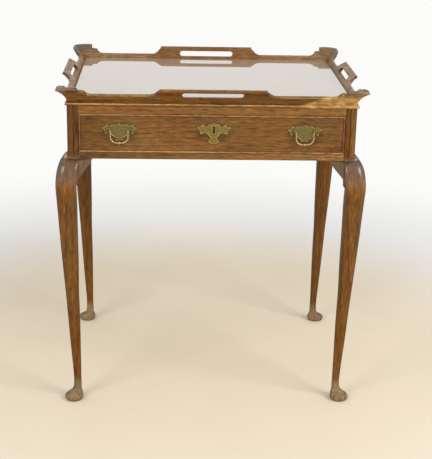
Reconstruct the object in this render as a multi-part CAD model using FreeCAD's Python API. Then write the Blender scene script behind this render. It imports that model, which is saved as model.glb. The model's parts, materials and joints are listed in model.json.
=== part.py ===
import FreeCAD, Part
import math
import os
from FreeCAD import Vector

# Oak tea table: four cabriole legs with pad feet, a case with one long drawer, and a loose
# tray top with a coved gallery, four hand-holds and a glass plate. The front faces -Y, the
# origin is on the floor below the middle of the table, and lengths are in millimetres.

# Driving dimensions of the case
case_width = 600.0
case_depth = 460.0
case_bottom_height = 555.0
case_height = 112.0
post_width = 24.0
post_corner_radius = 7.0
post_edge_radius = 1.0
rail_thickness = 18.0
front_rail_depth = 24.0
top_rail_height = 16.5
bottom_rail_height = 14.5
tenon_length = 14.0
tenon_thickness = 8.0
tenon_shoulder = 10.0
tenon_gap = 4.0

# Driving dimensions of the cabriole legs
knee_top_rise = 11.0
knee_drop = 50.0
knee_width = 43.5
knee_overhang = 3.4
ankle_height = 40.0
ankle_width = 16.0
ankle_inset = 12.0
foot_diameter = 40.0
foot_inset = 4.0

# Driving dimensions of the knee brackets
bracket_length = 27.0
bracket_drop = 58.0
bracket_thickness = 20.0
bracket_swell = 19.0

# Driving dimensions of the tray
tray_gap = 0.3
bead_height = 6.0
bead_projection = 3.5
bead_round = 3.0
cove_inset = 3.0
cove_radius = 46.0
cove_start_angle = 16.0
horn_angle = 70.0
gallery_foot_thickness = 8.0
gallery_rim_thickness = 5.5
tray_bottom_thickness = 11.0
glass_thickness = 4.0
glass_edge_gap = 0.4
batten_height = 10.0
batten_width = 20.0

# Driving dimensions of the hand-holds
front_block_half_length = 110.0
side_block_half_length = 80.0
front_slot_length = 127.0
side_slot_length = 112.0
slot_height = 11.6
slot_angle = 40.8

# Driving dimensions of the drawer
drawer_gap = 0.5
drawer_front_thickness = 18.0
drawer_side_thickness = 10.0
drawer_side_drop = 10.0
drawer_back_gap = 10.0
drawer_bottom_thickness = 6.0
cock_bead_thickness = 3.0
cock_bead_depth = 7.0
cock_bead_projection = 2.5
runner_gap = 0.3

# Driving dimensions of the brass; the pulls keep their share of the case's width
pull_spacing_share = 0.64
pull_rise = 6.5
plate_half_width = 36.0
plate_height = 35.0
plate_thickness = 1.5
post_spacing = 45.0
pull_post_diameter = 5.2
pull_post_reach = 9.0
bail_drop = 25.0
bail_wire_diameter = 2.7
bail_pin_diameter = 2.2
bail_pin_clearance = 0.08
keyhole_offset = 3.0
keyhole_rise = 14.0
escutcheon_half_width = 36.0
escutcheon_height = 44.5
bolt_travel = 6.0

half_width = case_width / 2
half_depth = case_depth / 2
case_top_height = case_bottom_height + case_height
overrun = post_width
up = Vector(0, 0, 1)
back_y = Vector(0, 1, 0)
origin = Vector(0, 0, 0)
quarter_turn = 90
full_turn = 360
middle_turn = math.radians(quarter_turn / 2)


def block(x0, y0, z0, x1, y1, z1):
    return Part.makeBox(x1 - x0, y1 - y0, z1 - z0, Vector(x0, y0, z0))


def flip_x(shape):
    return shape.mirror(origin, Vector(1, 0, 0))


def flip_y(shape):
    return shape.mirror(origin, Vector(0, 1, 0))


def save(name, *solids):
    shape = solids[0] if len(solids) == 1 else Part.makeCompound(list(solids))
    shape.exportStep("parts/" + name + ".step")


def prism(points, direction):
    corners = [Vector(*point) for point in points]
    return Part.Face(Part.makePolygon(corners + [corners[0]])).extrude(direction)


def between(start, end, share):
    return start + (end - start) * share


os.makedirs("parts", exist_ok=True)

# Cabriole leg, built at the front left corner. Each station is a rounded square: how far it
# reaches out past the side and front faces of the case, how far it reaches in, and its three
# kinds of corner radius (outer, side, inner) as shares of its width.
knee_top_height = case_bottom_height + knee_top_rise
knee_height = case_bottom_height - knee_drop
knee_reach = knee_width / 2 + knee_overhang
knee_inner = knee_width / 2 - knee_overhang
post_corner_share = post_corner_radius / post_width
post_edge_share = post_edge_radius / post_width
shoulder_stations_shares = [
    # height, side reach, front reach, inner reach, outer, side and inner radius
    (1.00, -0.03, -0.03, 0.95, 0.29, 0.08, 0.05),
    (0.92, 0.27, -0.03, 0.95, 0.31, 0.09, 0.05),
    (0.83, 0.44, 0.04, 0.95, 0.33, 0.12, 0.05),
    (0.72, 0.61, 0.44, 1.000, 0.35, 0.16, 0.06),
    (0.59, 0.76, 0.68, 0.920, 0.37, 0.19, 0.08),
    (0.41, 0.88, 0.85, 0.740, 0.39, 0.22, 0.12),
]
shaft_stations_shares = [
    # height, bow, girth, outer, side and inner radius
    (1.000, 1.000, 1.000, 0.40, 0.26, 0.20),
    (0.944, 1.000, 0.950, 0.40, 0.28, 0.24),
    (0.820, 0.860, 0.848, 0.40, 0.30, 0.28),
    (0.667, 0.700, 0.705, 0.40, 0.32, 0.30),
    (0.548, 0.575, 0.552, 0.40, 0.34, 0.32),
    (0.409, 0.420, 0.395, 0.41, 0.36, 0.35),
    (0.194, 0.190, 0.200, 0.44, 0.41, 0.40),
    (0.050, 0.035, 0.035, 0.48, 0.48, 0.48),
    (0.000, 0.000, 0.000, 0.49, 0.49, 0.49),
]
foot_stations_shares = [
    # height, shift towards the toe, swell
    (1.00, 0.00, 0.00),
    (0.72, 0.05, 0.05),
    (0.52, 0.25, 0.26),
    (0.40, 0.58, 0.60),
    (0.31, 0.86, 0.86),
    (0.20, 1.00, 1.00),
    (0.10, 1.00, 0.95),
    (0.03, 1.00, 0.80),
    (0.00, 1.00, 0.68),
]


def rounded_square(z, x0, y0, x1, y1, outer, side, inner):
    corners = [
        (x0 + outer, y0 + outer, outer, 2),
        (x1 - side, y0 + side, side, 3),
        (x1 - inner, y1 - inner, inner, 0),
        (x0 + side, y1 - side, side, 1),
    ]
    arcs = []
    for centre_x, centre_y, radius, quarters in corners:
        points = []
        for turn in (0, middle_turn, 2 * middle_turn):
            angle = math.radians(quarters * quarter_turn) + turn
            points.append(Vector(centre_x + radius * math.cos(angle), centre_y + radius * math.sin(angle), z))
        arcs.append(Part.Arc(*points).toShape())
    edges = []
    for arc, following in zip(arcs, arcs[1:] + arcs[:1]):
        edges.append(arc)
        start = arc.Vertexes[-1].Point
        end = following.Vertexes[0].Point
        edges.append(Part.makeLine(start, end))
    return Part.Wire(edges)


def leg_station(z, side_reach, front_reach, inner_reach, outer_share, side_share, inner_share):
    width = side_reach + inner_reach
    return rounded_square(
        z,
        -half_width - side_reach,
        -half_depth - front_reach,
        -half_width + inner_reach,
        -half_depth + inner_reach,
        width * outer_share,
        width * side_share,
        width * inner_share,
    )


def cabriole_leg():
    post_foot = leg_station(
        case_bottom_height, 0, 0, post_width, post_corner_share, post_edge_share, post_edge_share
    )
    post = Part.Face(post_foot).extrude(up * (case_top_height - case_bottom_height))
    stations = []
    for height, side, front, inner, outer, side_radius, inner_radius in shoulder_stations_shares:
        stations.append(
            leg_station(
                between(knee_height, knee_top_height, height),
                knee_reach * side,
                knee_reach * front,
                between(knee_inner, post_width, inner),
                outer,
                side_radius,
                inner_radius,
            )
        )
    for height, bow, girth, outer, side_radius, inner_radius in shaft_stations_shares:
        width = between(ankle_width, knee_width, girth)
        inset = between(ankle_inset, -knee_overhang, bow)
        reach = width / 2 - inset
        stations.append(
            leg_station(
                between(ankle_height, knee_height, height),
                reach,
                reach,
                width - reach,
                outer,
                side_radius,
                inner_radius,
            )
        )
    shaft = Part.makeLoft(stations, True, False)
    rings = []
    for height, shift, swell in foot_stations_shares:
        inset = between(ankle_inset, foot_inset, shift)
        radius = between(ankle_width, foot_diameter, swell) / 2
        centre = Vector(-half_width + inset, -half_depth + inset, ankle_height * height)
        rings.append(Part.Wire(Part.makeCircle(radius, centre, up)))
    foot = Part.makeLoft(rings, True, False)
    return post.fuse([shaft, foot]).removeSplitter()


leg_form = cabriole_leg()

# Rails of the case. Side and back rails are tenoned into the posts; the front has a thin rail
# above and below the drawer opening.
inner_post_x = half_width - post_width
inner_post_y = half_depth - post_width
tenon_inset = (rail_thickness - tenon_thickness) / 2
opening_top = case_top_height - top_rail_height
opening_bottom = case_bottom_height + bottom_rail_height


def side_rail_left():
    rail = block(
        -half_width,
        -inner_post_y,
        case_bottom_height,
        -half_width + rail_thickness,
        inner_post_y,
        case_top_height,
    )
    tenon = block(
        -half_width + tenon_inset,
        -inner_post_y - tenon_length,
        case_bottom_height + tenon_shoulder,
        -half_width + tenon_inset + tenon_thickness,
        inner_post_y + tenon_length,
        case_top_height - tenon_shoulder,
    )
    return rail.fuse(tenon).removeSplitter()


def back_rail():
    rail = block(
        -inner_post_x,
        half_depth - rail_thickness,
        case_bottom_height,
        inner_post_x,
        half_depth,
        case_top_height,
    )
    tenon_reach = inner_post_x + post_width - tenon_inset - tenon_thickness - tenon_inset / 2
    tenon = block(
        -tenon_reach,
        half_depth - tenon_inset - tenon_thickness,
        case_bottom_height + tenon_shoulder,
        tenon_reach,
        half_depth - tenon_inset,
        case_top_height - tenon_shoulder,
    )
    return rail.fuse(tenon).removeSplitter()


stub_tenon_length = post_width - tenon_inset - tenon_thickness - tenon_gap
stub_tenon_height = bottom_rail_height / 2
stub_tenon_depth = front_rail_depth / 2


def front_rail(bottom, top):
    rail = block(-inner_post_x, -half_depth, bottom, inner_post_x, -half_depth + front_rail_depth, top)
    middle = (bottom + top) / 2
    tenon = block(
        -inner_post_x - stub_tenon_length,
        -half_depth + front_rail_depth - stub_tenon_depth - tenon_inset,
        middle - stub_tenon_height / 2,
        inner_post_x + stub_tenon_length,
        -half_depth + front_rail_depth - tenon_inset,
        middle + stub_tenon_height / 2,
    )
    return rail.fuse(tenon).removeSplitter()


side_rail = side_rail_left()
rear_rail = back_rail()
lower_rail = front_rail(case_bottom_height, opening_bottom)
upper_rail = front_rail(opening_top, case_top_height)

# The side tenons lie nearest the outer faces and the front and back ones stop short of them,
# so none meet inside a post; each post is cut to the tenons that enter it.
front_left_leg = leg_form.cut([side_rail, lower_rail, upper_rail])
rear_left_leg = flip_y(leg_form).cut([side_rail, rear_rail])
save("leg_front_left", front_left_leg)
save("leg_front_right", flip_x(front_left_leg))
save("leg_rear_left", rear_left_leg)
save("leg_rear_right", flip_x(rear_left_leg))
save("side_rail_left", side_rail)
save("side_rail_right", flip_x(side_rail))
save("back_rail", rear_rail)
save("front_rail_bottom", lower_rail)

# Knee brackets: a small ear glued beside each knee, under the rail. It is the overlap of three
# outlines, seen from the front, from above and from the side, cut to the leg's own surface.
bracket_edge_shares = [(1.00, 0.00), (0.55, 0.36), (0.10, 0.60), (-0.25, 1.00)]
bracket_top_swell = 1.5
bracket_plan_sag_share = 0.14
bracket_side_rise_share = 0.42


def knee_bracket():
    inner = -half_width + post_width
    face = -half_depth
    under = case_bottom_height
    front = face - bracket_swell
    tip_x = inner + bracket_length
    heel_x = -half_width
    edge = [
        Vector(inner + bracket_length * share_x, front, under - bracket_drop * share_z)
        for share_x, share_z in bracket_edge_shares
    ]
    curve = Part.BSplineCurve()
    curve.interpolate(edge)
    top_tip = Vector(tip_x, front, under)
    top_heel = Vector(heel_x, front, under)
    low_heel = Vector(heel_x, front, under - bracket_drop)
    outline = Part.Wire(
        [
            curve.toShape(),
            Part.makeLine(edge[-1], low_heel),
            Part.makeLine(low_heel, top_heel),
            Part.makeLine(top_heel, top_tip),
        ]
    )
    front_form = Part.Face(outline).extrude(Vector(0, bracket_swell + bracket_thickness, 0))

    floor_z = under - bracket_drop
    plan_start = Vector(heel_x, front, floor_z)
    plan_end = Vector(tip_x, face - bracket_top_swell, floor_z)
    middle = (plan_start + plan_end) / 2
    plan_mid = middle + Vector(0, bracket_swell * bracket_plan_sag_share, 0)
    back_tip = Vector(tip_x, face + bracket_thickness, floor_z)
    back_heel = Vector(heel_x, face + bracket_thickness, floor_z)
    plan = Part.Wire(
        [
            Part.Arc(plan_start, plan_mid, plan_end).toShape(),
            Part.makeLine(plan_end, back_tip),
            Part.makeLine(back_tip, back_heel),
            Part.makeLine(back_heel, plan_start),
        ]
    )
    plan_form = Part.Face(plan).extrude(up * bracket_drop)

    rise = bracket_drop * bracket_side_rise_share
    side_start = Vector(heel_x, face - bracket_top_swell, under)
    side_mid = Vector(
        heel_x,
        face - bracket_swell * math.sin(middle_turn),
        under - rise * (1 - math.cos(middle_turn)),
    )
    side_end = Vector(heel_x, front, under - rise)
    low_front = Vector(heel_x, front, floor_z)
    low_back = Vector(heel_x, face + bracket_thickness, floor_z)
    high_back = Vector(heel_x, face + bracket_thickness, under)
    side = Part.Wire(
        [
            Part.Arc(side_start, side_mid, side_end).toShape(),
            Part.makeLine(side_end, low_front),
            Part.makeLine(low_front, low_back),
            Part.makeLine(low_back, high_back),
            Part.makeLine(high_back, side_start),
        ]
    )
    side_form = Part.Face(side).extrude(Vector(tip_x - heel_x, 0, 0))
    return front_form.common(plan_form).common(side_form)


def largest(shape):
    return max(shape.Solids, key=lambda solid: solid.Volume)


ear_form = knee_bracket()
corner = Vector(-half_width, -half_depth, 0)
front_ear = largest(ear_form.cut(leg_form))
side_ear = largest(ear_form.mirror(corner, Vector(1, -1, 0)).cut(leg_form))
for name, flips in (
    ("front_left", ()),
    ("front_right", (flip_x,)),
    ("rear_left", (flip_y,)),
    ("rear_right", (flip_x, flip_y)),
):
    ears = [front_ear, side_ear]
    for flip in flips:
        ears = [flip(ear) for ear in ears]
    save("knee_brackets_" + name, *ears)

# Inside the case: runners that carry the drawer, guides that keep it straight, kickers that
# stop it tipping, and two stops that bring its front flush.
drawer_floor = opening_bottom + drawer_gap
drawer_top = opening_top - drawer_gap
drawer_middle = (drawer_floor + drawer_top) / 2
drawer_side_top = drawer_top - drawer_side_drop
pull_height = drawer_middle + pull_rise
keyhole_height = drawer_middle + keyhole_rise
runner_top = drawer_floor - runner_gap
runner_width = 22.0
guide_height = 30.0
kicker_height = 13.0
kicker_gap = 0.8
stop_width = 30.0
stop_height = 20.0
stop_gap = 0.3
stop_place_share = 0.65
inner_rail_x = half_width - rail_thickness
runner = block(
    -inner_rail_x, -inner_post_y, case_bottom_height, -inner_rail_x + runner_width, inner_post_y, runner_top
)
guide_top = runner_top + guide_height
guide = block(-inner_rail_x, -inner_post_y, runner_top, -inner_post_x, inner_post_y, guide_top)
kicker_bottom = drawer_side_top + kicker_gap
kicker = block(
    -inner_rail_x,
    -inner_post_y,
    kicker_bottom,
    -inner_rail_x + runner_width,
    inner_post_y,
    kicker_bottom + kicker_height,
)
back_rail_face = half_depth - rail_thickness
drawer_end = back_rail_face - drawer_back_gap
stop = block(
    -inner_post_x * stop_place_share - stop_width / 2,
    drawer_end + stop_gap,
    drawer_floor + drawer_bottom_thickness,
    -inner_post_x * stop_place_share + stop_width / 2,
    back_rail_face,
    drawer_floor + drawer_bottom_thickness + stop_height,
)
save("drawer_runner_left", runner)
save("drawer_runner_right", flip_x(runner))
save("drawer_guide_left", guide)
save("drawer_guide_right", flip_x(guide))
save("drawer_kicker_left", kicker)
save("drawer_kicker_right", flip_x(kicker))
save("drawer_stops", stop, flip_x(stop))

# Lock, inside the drawer front: a brass case let into the back, and a bolt that rises behind the
# face of the top rail. The rail has a backing in two lengths, and the bolt goes between them.
lock_width = 50.0
lock_depth = 9.0
lock_below_keyhole = 19.0
bolt_width = 18.0
bolt_thickness = 5.0
bolt_length = 20.0
bolt_clearance = 0.3
drawer_face = -half_depth
drawer_front_back = drawer_face + drawer_front_thickness
drawer_half_width = inner_post_x - drawer_gap
bolt_y = drawer_front_back - lock_depth / 2
bolt_top = drawer_top - bolt_clearance
lock_body = block(
    keyhole_offset - lock_width / 2,
    drawer_front_back - lock_depth,
    keyhole_height - lock_below_keyhole,
    keyhole_offset + lock_width / 2,
    drawer_front_back,
    drawer_top,
)


def bolt_block(clearance, bottom, top):
    return block(
        keyhole_offset - bolt_width / 2 - clearance,
        bolt_y - bolt_thickness / 2 - clearance,
        bottom,
        keyhole_offset + bolt_width / 2 + clearance,
        bolt_y + bolt_thickness / 2 + clearance,
        top,
    )


bolt = bolt_block(0, bolt_top - bolt_length, bolt_top)
bolt_channel = bolt_block(bolt_clearance, bolt_top - bolt_length - bolt_clearance, drawer_top + overrun)
notch_clearance = bolt_clearance + drawer_gap
backing_face = bolt_y - bolt_thickness / 2 - notch_clearance
behind_face = block(
    -half_width, backing_face, opening_top - overrun, half_width, 0, case_top_height + overrun
)
notch = block(
    keyhole_offset - bolt_width / 2 - notch_clearance,
    backing_face,
    opening_top - overrun,
    keyhole_offset + bolt_width / 2 + notch_clearance,
    0,
    case_top_height + overrun,
)
save("lock_bolt", bolt)
save("front_rail_top", upper_rail.cut(behind_face))
save("front_rail_backing", *upper_rail.common(behind_face).cut(notch).Solids)

# Keyhole: a round head and a straight slot, through the escutcheon, the drawer front and the
# front of the lock.
keyhole_diameter = 7.0
keyhole_slot_width = 4.6
keyhole_slot_drop = 12.5
key_pin_diameter = 2.6


def keyhole(start_y, end_y):
    centre = Vector(keyhole_offset, start_y, keyhole_height)
    head = Part.makeCylinder(keyhole_diameter / 2, end_y - start_y, centre, back_y)
    slot = block(
        keyhole_offset - keyhole_slot_width / 2,
        start_y,
        keyhole_height - keyhole_slot_drop,
        keyhole_offset + keyhole_slot_width / 2,
        end_y,
        keyhole_height,
    )
    return head.fuse(slot)


lock_wall = (lock_depth - bolt_thickness) / 2 - bolt_clearance
lock_front = drawer_front_back - lock_depth
keyhole_depth = lock_depth - lock_wall
pin_foot = Vector(keyhole_offset, lock_front, keyhole_height)
key_pin = Part.makeCylinder(key_pin_diameter / 2, keyhole_depth, pin_foot, back_y)
lock_keyhole = keyhole(lock_front - overrun, lock_front + keyhole_depth)
lock_case = lock_body.cut([bolt_channel, lock_keyhole]).fuse(key_pin)
save("lock_case", lock_case.removeSplitter())

# Drawer box: the sides join the front with lapped dovetails and the back with through ones,
# and the bottom slides in grooves. A cock bead stands in a rebate round the front.
tail_count = 3
tail_angle = 10.0
tail_slope = math.tan(math.radians(tail_angle))
tail_length = drawer_front_thickness - cock_bead_depth
groove_depth = 5.0
bottom_rise = 8.0
back_thickness = drawer_side_thickness
bottom_low = drawer_floor + bottom_rise
bottom_high = bottom_low + drawer_bottom_thickness
tail_pitch = (drawer_side_top - bottom_high) / tail_count
tail_root_share = 0.44


def tails(y_root, length, direction):
    """Dovetail tails on the left side, growing from y_root along direction (+1 or -1)."""
    shapes = []
    root = tail_pitch * tail_root_share
    tip = root + 2 * length * tail_slope
    y_tip = y_root + direction * length
    for index in range(tail_count):
        middle = bottom_high + tail_pitch * (index + 0.5)
        shapes.append(
            prism(
                [
                    (-drawer_half_width, y_root, middle - root / 2),
                    (-drawer_half_width, y_root, middle + root / 2),
                    (-drawer_half_width, y_tip, middle + tip / 2),
                    (-drawer_half_width, y_tip, middle - tip / 2),
                ],
                Vector(drawer_side_thickness, 0, 0),
            )
        )
    return shapes


inner_side_x = drawer_half_width - drawer_side_thickness
back_face_y = drawer_end - back_thickness
front_tails = tails(drawer_front_back, tail_length, -1)
back_tails = tails(back_face_y, back_thickness, 1)
panel = block(
    -inner_side_x - groove_depth,
    drawer_front_back - groove_depth,
    bottom_low,
    inner_side_x + groove_depth,
    drawer_end,
    bottom_high,
)
side_board = block(
    -drawer_half_width, drawer_front_back, drawer_floor, -inner_side_x, back_face_y, drawer_side_top
)
side_tongue = block(-drawer_half_width, back_face_y, drawer_floor, -inner_side_x, drawer_end, bottom_high)
drawer_side = side_board.fuse(front_tails + back_tails + [side_tongue]).cut(panel)
back_board = block(
    -drawer_half_width, back_face_y, bottom_high, drawer_half_width, drawer_end, drawer_side_top
)
drawer_back = back_board.cut(back_tails + [flip_x(tail) for tail in back_tails])

front_board = block(
    -drawer_half_width, drawer_face, drawer_floor, drawer_half_width, drawer_front_back, drawer_top
)
rebate_inner = block(
    -drawer_half_width + cock_bead_thickness,
    drawer_face - overrun,
    drawer_floor + cock_bead_thickness,
    drawer_half_width - cock_bead_thickness,
    drawer_face + cock_bead_depth,
    drawer_top - cock_bead_thickness,
)
rebate = block(
    -drawer_half_width - overrun,
    drawer_face - overrun,
    drawer_floor - overrun,
    drawer_half_width + overrun,
    drawer_face + cock_bead_depth,
    drawer_top + overrun,
).cut(rebate_inner)

# Brass outlines are half lists of points, mirrored: across, up, and how far the arc to the next
# point bows outwards, as a share of half its chord.
plate_outline_shares = [
    (0.00, 0.43, -0.20),
    (0.20, 0.34, 0.25),
    (0.52, 0.26, -0.35),
    (0.74, 0.37, -0.30),
    (0.84, 0.19, 0.30),
    (1.00, 0.09, -0.30),
    (0.82, -0.03, 0.25),
    (0.79, -0.24, -0.35),
    (0.48, -0.23, 0.15),
    (0.17, -0.46, -0.30),
    (0.25, -0.60, 0.14),
    (0.00, -0.56, 0.00),
]
escutcheon_outline_shares = [
    (0.00, 0.22, -0.20),
    (0.28, 0.17, -0.20),
    (0.38, 0.05, -0.25),
    (0.68, 0.15, -0.30),
    (0.81, 0.04, 0.25),
    (1.00, -0.03, -0.25),
    (0.81, -0.13, 0.20),
    (0.75, -0.33, -0.30),
    (0.36, -0.29, 0.15),
    (0.18, -0.45, -0.30),
    (0.31, -0.65, 0.30),
    (0.00, -0.78, 0.00),
]


def bowed_edge(start, end, bow):
    chord = end - start
    left = Vector(-chord.z, 0, chord.x)
    return Part.Arc(start, (start + end) / 2 + left * (bow / 2), end).toShape()


def brass_outline(shares, half_width_size, height_size, centre):
    points = [centre + Vector(x * half_width_size, 0, z * height_size) for x, z, bow in shares]
    bows = [bow for x, z, bow in shares]
    edges = []
    for start, end, bow in zip(points, points[1:], bows):
        edges.append(bowed_edge(start, end, bow))
    turned = [Vector(2 * centre.x - point.x, point.y, point.z) for point in points]
    for start, end, bow in reversed(list(zip(turned[1:], turned, bows))):
        edges.append(bowed_edge(start, end, bow))
    return Part.Face(Part.Wire(edges))


# Bail pulls: a pierced cast plate, two turned posts that pass through the drawer front to nuts
# inside, and a swinging bail with a small knop.
shank_diameter = 4.0
shank_clearance = 0.1
collar_diameter = 9.0
collar_thickness = 1.2
collar_hollow = 1.2
post_head_share = 0.7
post_head_overhang = 2.0
nut_sides = 6
nut_width = 8.0
nut_thickness = 3.0
nut_reach = 1.5
plate_y = drawer_face - plate_thickness
pivot_y = drawer_face - pull_post_reach
bail_radius = bail_wire_diameter / 2
arm_gap = 0.4
arm_x = post_spacing / 2 - pull_post_diameter / 2 - arm_gap - bail_radius
pin_hole_radius = bail_pin_diameter / 2 + bail_pin_clearance
pin_reach_share = 0.8
bail_pin_length = bail_radius + arm_gap + pull_post_diameter * pin_reach_share
bail_turn_share = 0.52
bail_eye_share = 1.15
knop_radius = bail_wire_diameter
drop_top_share = 0.7
drop_tip_share = 0.12
drop_length_share = 1.7


def pull_shank(x, clearance):
    length = drawer_front_thickness + plate_thickness + nut_thickness + nut_reach
    return Part.makeCylinder(shank_diameter / 2 + clearance, length, Vector(x, plate_y, pull_height), back_y)


def pull_post(x):
    """Turned post: collar on the plate, stem, and a rounded head drilled for the bail's pin."""
    stem = pull_post_diameter / 2
    head_y = pivot_y - post_head_overhang
    profile = [
        Vector(x, head_y - stem / 2, pull_height),
        Vector(x + stem * post_head_share, head_y, pull_height),
        Vector(x + stem, pivot_y, pull_height),
        Vector(x + stem, plate_y - collar_thickness - collar_hollow, pull_height),
        Vector(x + collar_diameter / 2, plate_y - collar_thickness, pull_height),
        Vector(x + collar_diameter / 2, plate_y, pull_height),
        Vector(x, plate_y, pull_height),
    ]
    edges = [Part.Arc(profile[0], profile[1], profile[2]).toShape()]
    for start, end in zip(profile[2:], profile[3:] + profile[:1]):
        edges.append(Part.makeLine(start, end))
    turned = Part.Face(Part.Wire(edges)).revolve(Vector(x, 0, pull_height), back_y, full_turn)
    hole = Part.makeCylinder(
        pin_hole_radius, post_spacing, Vector(x - post_spacing / 2, pivot_y, pull_height), Vector(1, 0, 0)
    )
    return turned.cut(hole).fuse(pull_shank(x, 0)).removeSplitter()


def pull_nut(x):
    radius = nut_width / math.sqrt(3)
    corners = []
    for index in range(nut_sides):
        angle = math.radians(full_turn / nut_sides * index)
        corner_x = x + radius * math.cos(angle)
        corners.append((corner_x, drawer_front_back, pull_height + radius * math.sin(angle)))
    return prism(corners, Vector(0, nut_thickness, 0)).cut(pull_shank(x, shank_clearance))


def bail(x):
    """Bail in the plane of the posts: pins, arms, a rounded bottom and a knop with a drop."""
    turn_radius = bail_drop * bail_turn_share
    low = pull_height - bail_drop
    arm_foot = low + turn_radius
    flat = arm_x - turn_radius
    pieces = []
    for side in (-1, 1):
        eye_centre = Vector(x + side * arm_x, pivot_y, pull_height)
        foot = Vector(x + side * arm_x, pivot_y, arm_foot)
        ring = Part.Face(Part.Wire(Part.makeCircle(bail_radius, foot, up)))
        turn_centre = Vector(x + side * flat, pivot_y, arm_foot)
        pieces += [
            Part.makeCylinder(bail_radius, bail_drop - turn_radius, foot, up),
            ring.revolve(turn_centre, Vector(0, side, 0), quarter_turn),
            Part.makeSphere(bail_radius * bail_eye_share, eye_centre),
            Part.makeCylinder(bail_pin_diameter / 2, bail_pin_length, eye_centre, Vector(side, 0, 0)),
        ]
    bottom = Part.makeCylinder(bail_radius, 2 * flat, Vector(x - flat, pivot_y, low), Vector(1, 0, 0))
    centre = Vector(x, pivot_y, low)
    knop = Part.makeSphere(knop_radius, centre)
    drop_length = knop_radius * drop_length_share
    drop = Part.makeCone(knop_radius * drop_top_share, knop_radius * drop_tip_share, drop_length, centre, -up)
    return bottom.fuse(pieces + [knop, drop]).removeSplitter()


pull_holes = []
for name, side in (("left", -1), ("right", 1)):
    centre_x = side * case_width * pull_spacing_share / 2
    posts_x = (centre_x - post_spacing / 2, centre_x + post_spacing / 2)
    plate_face = brass_outline(
        plate_outline_shares, plate_half_width, plate_height, Vector(centre_x, drawer_face, pull_height)
    )
    plate = plate_face.extrude(Vector(0, -plate_thickness, 0))
    plate = plate.cut([pull_shank(x, shank_clearance) for x in posts_x])
    save("pull_plate_" + name, plate)
    save("pull_posts_" + name, *[pull_post(x) for x in posts_x])
    save("pull_nuts_" + name, *[pull_nut(x) for x in posts_x])
    save("bail_" + name, bail(centre_x))
    pull_holes += [pull_shank(x, shank_clearance) for x in posts_x]

# Escutcheon: a matching plate round the keyhole, held by three small pins.
escutcheon_thickness = 1.4
pin_head_diameter = 2.8
pin_shank_diameter = 1.2
pin_shank_length = 8.0
pin_clearance = 0.05
pin_places_shares = [(-0.80, -0.06), (0.80, -0.06), (0.0, -0.66)]
escutcheon_centre = Vector(keyhole_offset, drawer_face, keyhole_height)


def escutcheon_pin(share_x, share_z, clearance):
    face_y = drawer_face - escutcheon_thickness
    place = escutcheon_centre + Vector(share_x * escutcheon_half_width, 0, share_z * escutcheon_height)
    place.y = face_y
    shank = Part.makeCylinder(
        pin_shank_diameter / 2 + clearance, escutcheon_thickness + pin_shank_length + clearance, place, back_y
    )
    return place, shank


pins = []
pin_holes = []
for share_x, share_z in pin_places_shares:
    place, shank = escutcheon_pin(share_x, share_z, 0)
    half_ball = Part.makeSphere(pin_head_diameter / 2, place).cut(
        block(
            place.x - pin_head_diameter,
            place.y,
            place.z - pin_head_diameter,
            place.x + pin_head_diameter,
            place.y + pin_head_diameter,
            place.z + pin_head_diameter,
        )
    )
    pins.append(half_ball.fuse(shank).removeSplitter())
    pin_holes.append(escutcheon_pin(share_x, share_z, pin_clearance)[1])
escutcheon_face = brass_outline(
    escutcheon_outline_shares, escutcheon_half_width, escutcheon_height, escutcheon_centre
)
escutcheon = escutcheon_face.extrude(Vector(0, -escutcheon_thickness, 0))
escutcheon = escutcheon.cut(pin_holes + [keyhole(drawer_face - overrun, drawer_face + overrun)])
save("escutcheon", escutcheon)
save("escutcheon_pins", *pins)

drawer_front = front_board.cut(
    [rebate, panel, lock_body, keyhole(drawer_face - overrun, lock_front)]
    + front_tails
    + [flip_x(tail) for tail in front_tails]
    + pull_holes
    + pin_holes
)
save("drawer_front", drawer_front)
save("drawer_side_left", drawer_side)
save("drawer_side_right", flip_x(drawer_side))
save("drawer_back", drawer_back)
save("drawer_bottom", panel)

# Cock beads: thin strips with a rounded front edge, mitred at the corners of the drawer front.


def cock_bead(length):
    """Strip along X, its outer face at z = 0 and growing downwards, mitred at both ends."""
    half = length / 2
    thickness = cock_bead_thickness
    back = cock_bead_depth
    nose = -cock_bead_projection + thickness / 2
    profile = Part.Wire(
        [
            Part.makeLine(Vector(-half, back, 0), Vector(-half, nose, 0)),
            Part.Arc(
                Vector(-half, nose, 0),
                Vector(-half, -cock_bead_projection, -thickness / 2),
                Vector(-half, nose, -thickness),
            ).toShape(),
            Part.makeLine(Vector(-half, nose, -thickness), Vector(-half, back, -thickness)),
            Part.makeLine(Vector(-half, back, -thickness), Vector(-half, back, 0)),
        ]
    )
    strip = Part.Face(profile).extrude(Vector(length, 0, 0))
    mitre = prism(
        [
            (half, -overrun, 0),
            (half + overrun, -overrun, 0),
            (half + overrun, -overrun, -overrun),
            (half - overrun, -overrun, -overrun),
        ],
        Vector(0, 2 * overrun, 0),
    )
    return strip.cut([mitre, flip_x(mitre)])


drawer_height = drawer_top - drawer_floor
long_bead = cock_bead(2 * drawer_half_width)
short_bead = cock_bead(drawer_height)
long_bead.translate(Vector(0, drawer_face, drawer_height / 2))
short_bead.translate(Vector(0, drawer_face, drawer_half_width))
for name, bead, quarters in (
    ("top", long_bead, 0),
    ("right", short_bead, 1),
    ("bottom", long_bead, 2),
    ("left", short_bead, 3),
):
    placed = bead.copy()
    placed.rotate(origin, Vector(0, 1, 0), quarters * quarter_turn)
    placed.translate(Vector(0, 0, drawer_middle))
    save("cock_bead_" + name, placed)

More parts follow.
